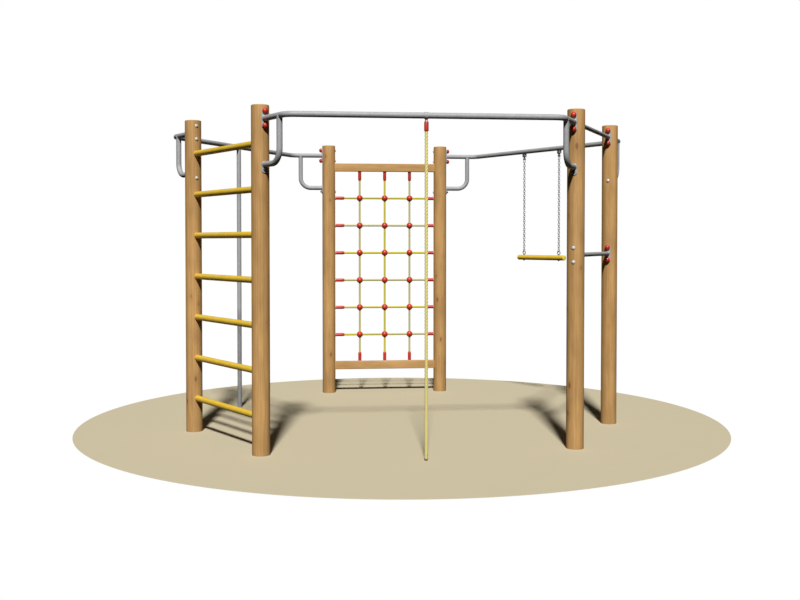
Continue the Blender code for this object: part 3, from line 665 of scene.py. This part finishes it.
def make_bolts():
    for node in [name for name in frame["nodes"] if name.startswith("bolt_")]:
        post, role = next(
            (post, node.removeprefix(f"bolt_{post}_"))
            for post in sorted(post_axis, key=len, reverse=True)
            if node.startswith(f"bolt_{post}_")
        )
        z = middle(node).z
        if role == "handle":
            washer = 0.0025
            nut = Shape().turn([(0.0130, 0), (0.0130, 0.0020), (0.0120, washer)], 40)
            hexagon(nut, NUT_RADIUS, NUT_HEIGHT, Matrix.Translation((0, 0, washer)))
            tip = NUT_HEIGHT + 0.0045
            nut.turn([(0.0060, 0.002), (0.0060, tip - 0.001), (0.0050, tip)], 24)
            place = bolt_place(post, z, FLANGE_FACE, 1)
            # painted shade: the nut, washer and bolt tip are near black to stand for the shade under the
            # loop's end
            piece(f"{node}_nut", nut, PAINTED_SHADE_NUT_STEEL, [node], place=place)
            ends = [("dome", -1)]
        else:
            capped_inside = post in PANELS["right"]
            outside = "cap" if role.startswith("top") else "dome"
            ends = [(outside, 1), ("cap" if capped_inside else "dome", -1)]
        for kind, side in ends:
            face = FLANGE_FACE if kind == "cap" else POST_RADIUS
            place = bolt_place(post, z, face, side)
            label = "outer" if side == 1 else "inner"
            if kind == "cap":
                cap = Shape().turn(cap_profile(), 48)
                piece(f"{node}_{label}_cap", cap, RED, [node], place=place)
            else:
                dome = Shape().turn(dome_profile(), 40)
                piece(f"{node}_{label}_dome", dome, DOME_STEEL, [node], place=place)


# ---------------------------------------------------------------- ladder and net
def make_ladder():
    low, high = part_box("ladder_rung_1")
    half = (flat(high) - flat(low)).length / 2 - 0.004
    path = [Vector((-half + 2 * half * step / 12, 0, 0)) for step in range(13)]
    for number in range(1, 8):
        node = f"ladder_rung_{number}"
        place = panel_frame("left", middle(node).z)
        rung = Shape().tube(path, RUNG_RADIUS, 40)
        piece(f"{node}_tube", rung, YELLOW, [node], place=place)


def ferrule_profile():
    """A moulded rope end, from the wood to the rope, with three grip rings."""
    profile = [(FERRULE_RADIUS - 0.0015, 0), (FERRULE_RADIUS, 0.0015)]
    for ring in range(3):
        z = 0.014 + 0.010 * ring
        profile += [(FERRULE_RADIUS, z), (FERRULE_RADIUS - 0.0013, z + 0.0010)]
        profile += [(FERRULE_RADIUS - 0.0013, z + 0.0030), (FERRULE_RADIUS, z + 0.0040)]
    shoulder = FERRULE_LENGTH - 0.016
    profile += [(FERRULE_RADIUS, shoulder), (FERRULE_RADIUS - 0.0008, shoulder + 0.004)]
    return profile + [(0.0125, FERRULE_LENGTH - 0.002), (0.0112, FERRULE_LENGTH)]


def washer_profile():
    return [(0.0182, 0), (0.0190, 0.0008), (0.0190, 0.0022), (0.0180, 0.0030)]


def ball_half(shape, place):
    """Adds half a ball connector with a flat seam face, dome towards +Z."""
    seam = 0.0004
    rim = [(BALL_RADIUS - 0.0010, seam), (BALL_RADIUS, seam + 0.0010)]
    dome = [
        (BALL_RADIUS * math.cos(math.radians(angle)), BALL_RADIUS * math.sin(math.radians(angle)))
        for angle in range(6, 81, 6)
    ]
    recess = [(0.0052, BALL_RADIUS - 0.0004), (0.0046, BALL_RADIUS - 0.0030), (0.0003, BALL_RADIUS - 0.0030)]
    shape.turn(rim + dome + recess, 40, place)


def ball_connector(mouldings, place):
    """Adds a connector of two halves, in the panel's XZ plane, with a collar on each rope and two plugs."""
    for side in (1, -1):
        facing = Matrix.Rotation(math.radians(-90 * side), 4, "X")
        ball_half(mouldings, place @ facing)
        plug = [(0.0042, BALL_RADIUS - 0.0034), (0.0042, BALL_RADIUS - 0.0018),
                (0.0034, BALL_RADIUS - 0.0010), (0.0003, BALL_RADIUS - 0.0008)]  # fmt: skip
        mouldings.turn(plug, 24, place @ facing)
    collar = [(0.0128, 0.0240), (0.0128, 0.0290), (0.0122, 0.0298), (0.0104, 0.0298)]
    for turn in range(4):
        mouldings.turn(collar, 32, place @ Matrix.Rotation(math.pi / 2 * turn, 4, "Y"))


NET_LAY = 0.100
NET_STEP = 0.004


def net_rope(name, place, start, end, connectors=()):
    """A rope along the frame's Z between two wooden faces, with its ferrules, washers and connectors."""
    washer = 0.003
    hidden = 0.01  # of the rope, in each ferrule
    low, high = start + FERRULE_LENGTH - hidden, end - FERRULE_LENGTH + hidden
    path = rope_path(Vector((0, 0, low)), Vector((0, 0, high)), NET_STEP)
    rope = Shape().tube(path, laid(NET_ROPE_RADIUS, 6, 0.16, NET_LAY, NET_STEP), 36)
    piece(f"{name}_rope", rope, NET_FIBRE, [name], place=place, sharp=70)
    mouldings, metal = Shape(), Shape()
    flip = Matrix.Rotation(math.pi, 4, "X")
    for face, turned in ((start, Matrix.Identity(4)), (end, flip)):
        bearing = Matrix.Translation((0, 0, face)) @ turned
        metal.turn(washer_profile(), 36, bearing)
        mouldings.turn(ferrule_profile(), 36, bearing @ Matrix.Translation((0, 0, washer * 0.8)))
    for z in connectors:
        ball_connector(mouldings, Matrix.Translation((0, 0, z)))
    piece(f"{name}_mouldings", mouldings, RED, place=place)
    piece(f"{name}_fixings", metal, DOME_STEEL, place=place)


def make_net():
    level = panel_frame("back") @ Matrix.Rotation(math.pi / 2, 4, "Y")  # +Z level, along a rail's grain
    reach = (post_axis["back_right"] - post_axis["back_left"]).length / 2 - POST_RADIUS
    rails = {name: middle(f"net_rail_{name}").z for name in ("bottom", "top")}
    for seed, (name, z) in enumerate(rails.items()):
        outline = rounded_box(RAIL_HEIGHT, RAIL_THICK, RAIL_ROUND)
        ends = reach + 0.010
        rail = Shape().loft([[(x, y, ends * (step / 10 - 1)) for x, y in outline] for step in range(21)])
        place = Matrix.Translation((0, 0, z)) @ level
        wood = timber(f"timber_rail_{name}", 9.1 + 2.3 * seed)
        node = f"net_rail_{name}"
        piece(f"{node}_timber", rail, wood, [node], place=place)
    rows = [middle(f"net_rope_across_{number}").z for number in range(1, 7)]
    for number, z in enumerate(rows, 1):
        net_rope(f"net_rope_across_{number}", Matrix.Translation((0, 0, z)) @ level, -reach, reach)
    lowest, highest = rails["bottom"] + RAIL_HEIGHT / 2, rails["top"] - RAIL_HEIGHT / 2
    for name in ("left", "middle", "right"):
        node = f"net_rope_up_{name}"
        upright = frame_at(flat(middle(node)), Vector((1, 0, 0)), Vector((0, 1, 0)))
        net_rope(node, upright, lowest, highest, rows)


# ---------------------------------------------------------------- pole and climbing rope
def make_pole():
    place = bay_frame("back_left", flat(middle("fireman_pole")))
    radius = 0.020
    top = BAR_Z - BAR_RADIUS * 0.6
    path = [Vector((0, 0, top * step / 24)) for step in range(25)]
    pole = Shape().tube(path, radius, 40)
    piece("fireman_pole_tube", pole, STEEL, ["fireman_pole"], place=place)
    weld = Shape()
    bead(weld, ring_under_bar(radius, BAR_RADIUS), Matrix.Translation((0, 0, BAR_Z)))
    piece("fireman_pole_weld", weld, WELD, place=place)


def carved(made, cutter):
    """Cuts a shape out of a piece, and leaves no modifier."""
    mesh = bpy.data.meshes.new("cutter")
    mesh.from_pydata([tuple(point) for point in cutter.points], [], cutter.faces)
    tool = bpy.data.objects.new("cutter", mesh)
    tool.matrix_world = made.matrix_world
    bpy.context.scene.collection.objects.link(tool)
    boolean = made.modifiers.new("cut", "BOOLEAN")
    boolean.operation = "DIFFERENCE"
    boolean.object = tool
    graph = bpy.context.evaluated_depsgraph_get()
    result = bpy.data.meshes.new_from_object(made.evaluated_get(graph))
    made.modifiers.clear()
    made.data = result
    bpy.data.objects.remove(tool)


def make_climbing_rope():
    swing, sway = joints["rope_swing"], joints["rope_sway"]
    place = bay_frame("front", swing)
    along = Matrix.Rotation(math.pi / 2, 4, "Y")
    facing = Matrix.Rotation(math.pi / 2, 4, "X")
    half, bore, outer, edge = 0.013, 0.0216, 0.0248, 0.0008  # half its width, two radii, and its eased edges
    sleeve = Shape().turn(
        [(bore, -half), (outer - edge, -half), (outer, edge - half),
         (outer, half - edge), (outer - edge, half), (bore, half)],
        64, along, closed=True,
    )  # fmt: skip
    drop = swing.z - sway.z
    eye_top = 0.026
    sleeve.plate(stadium(EYE_PLATE, drop - eye_top), EYE_THICK, Matrix.Translation((0, 0, -eye_top)) @ facing)
    piece("rope_hanger_sleeve", sleeve, STEEL, ["rope_hanger"], "rope_hanger", place)

    hang = Matrix.Translation(sway - swing) @ place
    top_radius, ferrule_radius = 0.0125, 0.0160
    rope_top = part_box("climbing_rope")[1].z
    end = rope_top - sway.z
    round_top = [
        (max(0.0003, top_radius * math.sin(math.radians(angle))), top_radius * math.cos(math.radians(angle)))
        for angle in range(0, 90, 9)
    ]
    shoulder = [(ferrule_radius - 0.0010, -0.005), (ferrule_radius, -0.009), (ferrule_radius, end + 0.006)]
    mouth = 0.003  # radius of its rounded lower edge
    lower_edge = arc((ferrule_radius - mouth, end + mouth), mouth, 0, -80, 5)
    ferrule = Shape().turn(list(reversed(round_top + shoulder + lower_edge)), 48)
    nodes = ["rope_ferrule"]
    moulding = piece("rope_ferrule_moulding", ferrule, RED, nodes, "climbing_rope", hang)
    slot_floor, slot_half, past = 0.0108, 0.0045, 0.03
    slot_outline = [(-past, -slot_half), (past, -slot_half), (past, slot_half), (-past, slot_half)]
    carved(moulding, Shape().loft([[(x, y, z) for x, y in slot_outline] for z in (-slot_floor, past)]))
    pin = Shape().turn([(0.0038, -0.0125), (0.0040, -0.0120), (0.0040, 0.0120), (0.0038, 0.0125)], 32, facing)
    for side in (1, -1):
        head = Matrix.Rotation(math.radians(-90 * side), 4, "X") @ Matrix.Translation((0, 0, 0.0118))
        pin.turn([(0.0066, 0), (0.0066, 0.0012), (0.0058, 0.0026), (0.0003, 0.0034)], 32, head)
    piece("rope_ferrule_pin", pin, DOME_STEEL, (), "climbing_rope", hang)

    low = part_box("climbing_rope")[0].z
    step = 0.0025
    path = rope_path(flat(swing, rope_top), flat(swing, low), step)
    rope = Shape().tube(path, laid(ROPE_RADIUS, 3, 0.22, 0.070, step), 36)
    nodes = ["climbing_rope"]
    cord = piece("climbing_rope_laid", rope, ROPE_FIBRE, nodes, "climbing_rope", sharp=75)
    whipping = Shape()
    first_wrap, twine = 0.006, 0.0014  # height above the rope's end, and radius
    wrap_circle = circle(ROPE_RADIUS - twine / 2, 36)
    for wrap in range(14):
        centre = flat(swing, low + first_wrap + 2 * twine * wrap)
        whipping.tube([centre + Vector(point) for point in wrap_circle], twine, 8, closed=True)
    tied = piece("climbing_rope_whipping", whipping, ROPE_FIBRE, (), "climbing_rope")


# ---------------------------------------------------------------- trapeze
PIN_RADIUS = 0.004


def pin_with_heads(shape, length, place):
    """Adds a pin along Z about the origin, with a round head at each end."""
    half = length / 2
    shape.turn([(PIN_RADIUS, -half), (PIN_RADIUS, half)], 28, place)
    profile = [(0.0062, 0), (0.0065, 0.0005), (0.0065, 0.0020), (0.0045, 0.0032), (0.0003, 0.0034)]
    for flip in (0, math.pi):
        head = place @ Matrix.Rotation(flip, 4, "X") @ Matrix.Translation((0, 0, half - 0.0004))
        shape.turn(profile, 28, head)


def shackle(shape, place):
    """Adds a shackle in the YZ plane: its pin along Y at the origin and its bow below."""
    ear = 0.0078
    sideways = Matrix.Rotation(math.pi / 2, 4, "X")
    pin_with_heads(shape, 2 * ear + 0.009, place @ sideways)
    for side in (-1, 1):
        disc = [(0.0068, -0.0028), (0.0072, -0.0022), (0.0072, 0.0022), (0.0068, 0.0028)]
        shape.turn(disc, 28, place @ Matrix.Translation((0, side * ear, 0)) @ sideways)
    bow = [Vector((0, -ear, -0.004))]
    for y, z in arc((0, BOW_RADIUS + 0.0075 - BOW_DROP), 0.0105, 180, 360, 20):
        bow.append(Vector((0, y, z)))
    bow.append(Vector((0, ear, -0.004)))
    shape.tube(bow, BOW_RADIUS, 20, place=place)


def link(shape, length, place):
    """Adds a chain link in the XZ plane about the origin; length is of its centre line, top to bottom."""
    bend = LINK_WIDTH / 2 - WIRE_RADIUS
    straight = length / 2 - bend
    outline = arc((0, straight), bend, 0, 180, 12) + arc((0, -straight), bend, 180, 360, 12)
    shape.tube([Vector((x, 0, z)) for x, z in outline], WIRE_RADIUS, 12, closed=True, place=place)


def hanger(shape, welds, place):
    """Adds a trapeze hanger: two lugs under the bar, and the bolt that the swivel turns on."""
    radius, thick, gap = 0.012, 0.005, 0.0151  # of a lug; the gap is from the hanger's middle to the lug's
    rise = 0.026  # of a lug's round top above the bolt, inside the bar
    bar_middle = 0.040  # above the bolt
    sideways = Matrix.Rotation(math.pi / 2, 4, "Y") @ Matrix.Rotation(math.pi / 2, 4, "Z")
    for side in (-1, 1):
        outline = stadium(radius, rise)
        shape.plate(outline, thick, place @ Matrix.Translation((side * gap, 0, rise)) @ sideways)
        foot = []
        for x, y in ((1, 1), (-1, 1), (-1, -1), (1, -1)):
            foot += arc((x * thick * 0.5, y * (radius - 0.002)), 0.0015, *corner_turns(x, y), 6)
        curve = [Vector((side * gap + x, y, bar_middle - math.sqrt(BAR_RADIUS**2 - y * y))) for x, y in foot]
        bead(welds, curve, place)
    across = place @ Matrix.Rotation(math.pi / 2, 4, "Y")
    outer = gap + thick / 2
    bolt_end = outer + 0.006
    shape.turn([(0.005, -bolt_end), (0.005, bolt_end)], 28, across)
    for flip in (0, math.pi):
        head = across @ Matrix.Rotation(flip, 4, "X") @ Matrix.Translation((0, 0, outer))
        hexagon(shape, 0.0088, 0.0055, head)


def corner_turns(x, y):
    """Start and end angle of a rounded corner in that quarter."""
    start = {(1, 1): 0, (-1, 1): 90, (-1, -1): 180, (1, -1): 270}[(x, y)]
    return start, start + 90


def make_trapeze():
    pins = {"left": joints["trapeze_sway"], "right": joints["trapeze_sway_right"]}
    swing_z = joints["trapeze_swing"].z
    foot_z = joints["trapeze_bar_level"].z
    facing = Matrix.Rotation(math.pi / 2, 4, "X")
    lugs, welds = Shape(), Shape()
    for name, pin in pins.items():
        at_swing = bay_frame("back_right", flat(pin, swing_z))
        hanger(lugs, welds, at_swing)
        drop = swing_z - pin.z
        barrel, half = 0.0110, 0.0120
        swivel = Shape().turn(
            [(0.0055, -half), (barrel - 0.001, -half), (barrel, 0.001 - half),
             (barrel, half - 0.001), (barrel - 0.001, half), (0.0055, half)],
            40, Matrix.Rotation(math.pi / 2, 4, "Y"), closed=True,
        )  # fmt: skip
        below = 0.006
        swivel.plate(stadium(EYE_PLATE, drop - below), EYE_THICK, Matrix.Translation((0, 0, -below)) @ facing)
        node = f"trapeze_swivel_{name}"
        piece(f"{node}_eye", swivel, CHAIN_STEEL, [node], "trapeze_swivels", at_swing)

        at_pin = bay_frame("back_right", pin)
        chain = Shape()
        shackle(chain, Matrix.Identity(4))
        top = BOW_RADIUS + WIRE_RADIUS - BOW_DROP
        bottom = foot_z - pin.z + EYE_RADIUS - EYE_WIRE - WIRE_RADIUS
        wires = 2 * WIRE_RADIUS
        run = top - bottom - wires
        count = 2 * round(run / LINK_PITCH / 2)  # even, so that the last link is across its ring
        pitch = run / count
        for number in range(count):
            z = top - wires / 2 - pitch * (number + 0.5)
            turn = CHAIN_TURN + math.pi / 2 * (number % 2)
            link(chain, pitch + wires, Matrix.Translation((0, 0, z)) @ Matrix.Rotation(turn, 4, "Z"))
        node = f"trapeze_chain_{name}"
        piece(f"{node}_links", chain, CHAIN_STEEL, [node], node, at_pin)
    piece("trapeze_hanger_lugs", lugs, STEEL)
    piece("trapeze_hanger_welds", welds, WELD)
    make_trapeze_bar(pins, foot_z)


def make_trapeze_bar(pins, foot_z):
    """Adds the bar, its end plugs and its ring eyes; each ring is in the plane that the chains sway in."""
    place = bay_frame("back_right", flat(middle("trapeze_bar"), foot_z))
    length = 0.620
    drop = 0.046  # of the bar's middle below the eyes'
    body = "trapeze_bar"
    plug = 0.004
    half = length / 2 - plug
    path = [Vector((-half + 2 * half * step / 16, 0, -drop)) for step in range(17)]
    tube = Shape().tube(path, TRAPEZE_RADIUS, 44)
    piece("trapeze_bar_tube", tube, YELLOW, ["trapeze_bar"], body, place)
    plugs = Shape()
    profile = [
        (TRAPEZE_RADIUS - 0.0006, 0),
        (TRAPEZE_RADIUS - 0.0002, 0.0006),
        (TRAPEZE_RADIUS - 0.0010, 0.0024),
        (TRAPEZE_RADIUS - 0.0040, 0.0036),
        (0.0003, plug),
    ]
    for side in (-1, 1):
        end = Matrix.Translation((side * half, 0, -drop)) @ Matrix.Rotation(side * math.pi / 2, 4, "Y")
        plugs.turn(profile, 44, end)
    piece("trapeze_bar_plugs", plugs, YELLOW_CAP, (), body, place)
    spacing = (pins["right"] - pins["left"]).length / 2
    eyes = Shape()
    ring = [Vector((x, 0, z)) for x, z in arc((0, 0), EYE_RADIUS, 0, 360, 48)[:-1]]
    surface = TRAPEZE_RADIUS - drop
    foot = [(0.0085, surface - 0.004), (0.0090, surface + 0.0004)]
    foot += [(0.0052, surface + 0.0016), (0.0050, surface + 0.006)]
    bedded = 0.0015  # of the nut's washer, in the bar's round underside
    washer = [(0.0105, 0), (0.0105, 0.0012), (0.0098, 0.0016)]
    turns = [math.radians(angle) for angle in range(0, 88, 12)]
    dome = [(0.0072 * math.cos(turn), 0.0058 + 0.0030 * math.sin(turn)) for turn in turns]
    for side in (-1, 1):
        at = Matrix.Translation((side * spacing, 0, 0))
        eyes.tube(ring, EYE_WIRE, 20, closed=True, place=at)
        eyes.turn(foot, 28, at)
        below = Matrix.Translation((0, 0, -drop - TRAPEZE_RADIUS + bedded))
        under = at @ below @ Matrix.Rotation(math.pi, 4, "X")
        eyes.turn(washer, 32, under)
        hexagon(eyes, 0.0090, 0.0050, under @ Matrix.Translation((0, 0, 0.0014)))
        eyes.turn(dome, 24, under)
    piece("trapeze_bar_eyes", eyes, CHAIN_STEEL, (), body, place)


# ---------------------------------------------------------------- floor and light
def make_stage():
    """A plain, pale, round floor, soft light from behind the camera, and two low lights on the far side."""
    centre = sum(post_axis.values(), Vector()) / len(post_axis)
    floor_radius = 2.690
    disc = Shape().turn([(floor_radius, -0.002), (floor_radius + 0.002, -0.001), (floor_radius, 0.0)], 256)
    mesh = bpy.data.meshes.new("floor")
    mesh.from_pydata([tuple(point) for point in disc.points], [], disc.faces)
    sand = Surface("pale_floor", 0.95, Specular_IOR_Level=0.1)
    speckle = sand.noise(sand.space, 260, 3)
    tone = sand.ramp(speckle, ((0.3, (0.560, 0.492, 0.338)), (0.7, (0.585, 0.512, 0.355))))
    seen = sand.node("ShaderNodeLightPath").outputs["Is Camera Ray"]
    bounced = (0.07, 0.06, 0.045)  # to other rays, so that little of its colour gets on the object
    mesh.materials.append(sand.finish(sand.mix(seen, bounced, tone)))
    floor = bpy.data.objects.new("floor", mesh)
    floor.location = centre - UP * 0.0004
    bpy.context.scene.collection.objects.link(floor)

    behind = math.radians(155)
    for name, strength, angle, elevation, turn in (
        ("key", 4.45, 5, 47, CAMERA_YAW),
        ("low_left", 0.95, 4, 1.0, CAMERA_YAW + behind),
        ("low_right", 0.95, 4, 1.0, CAMERA_YAW - behind),
    ):
        sun = bpy.data.lights.new(name, "SUN")
        sun.energy = strength
        sun.angle = math.radians(angle)
        lamp = bpy.data.objects.new(name, sun)
        lamp.visible_glossy = name == "key"
        lamp.rotation_euler = (math.radians(90 - elevation), 0, turn)
        bpy.context.scene.collection.objects.link(lamp)

    world = bpy.data.worlds.new("studio")
    bpy.context.scene.world = world
    world.use_nodes = True
    nodes, links = world.node_tree.nodes, world.node_tree.links
    background = nodes["Background"]
    path = nodes.new("ShaderNodeLightPath")
    seen = nodes.new("ShaderNodeMapRange")
    seen.inputs["To Min"].default_value = 0.010
    seen.inputs["To Max"].default_value = 1.0
    links.new(path.outputs["Is Camera Ray"], seen.inputs["Value"])
    background.inputs["Color"].default_value = (1, 1, 1, 1)
    links.new(seen.outputs["Result"], background.inputs["Strength"])
    bpy.context.scene.view_settings.view_transform = "Standard"


make_posts()
make_overhead_bars()
make_pull_up_bars()
make_bolts()
make_ladder()
make_net()
make_pole()
make_climbing_rope()
make_trapeze()
make_stage()
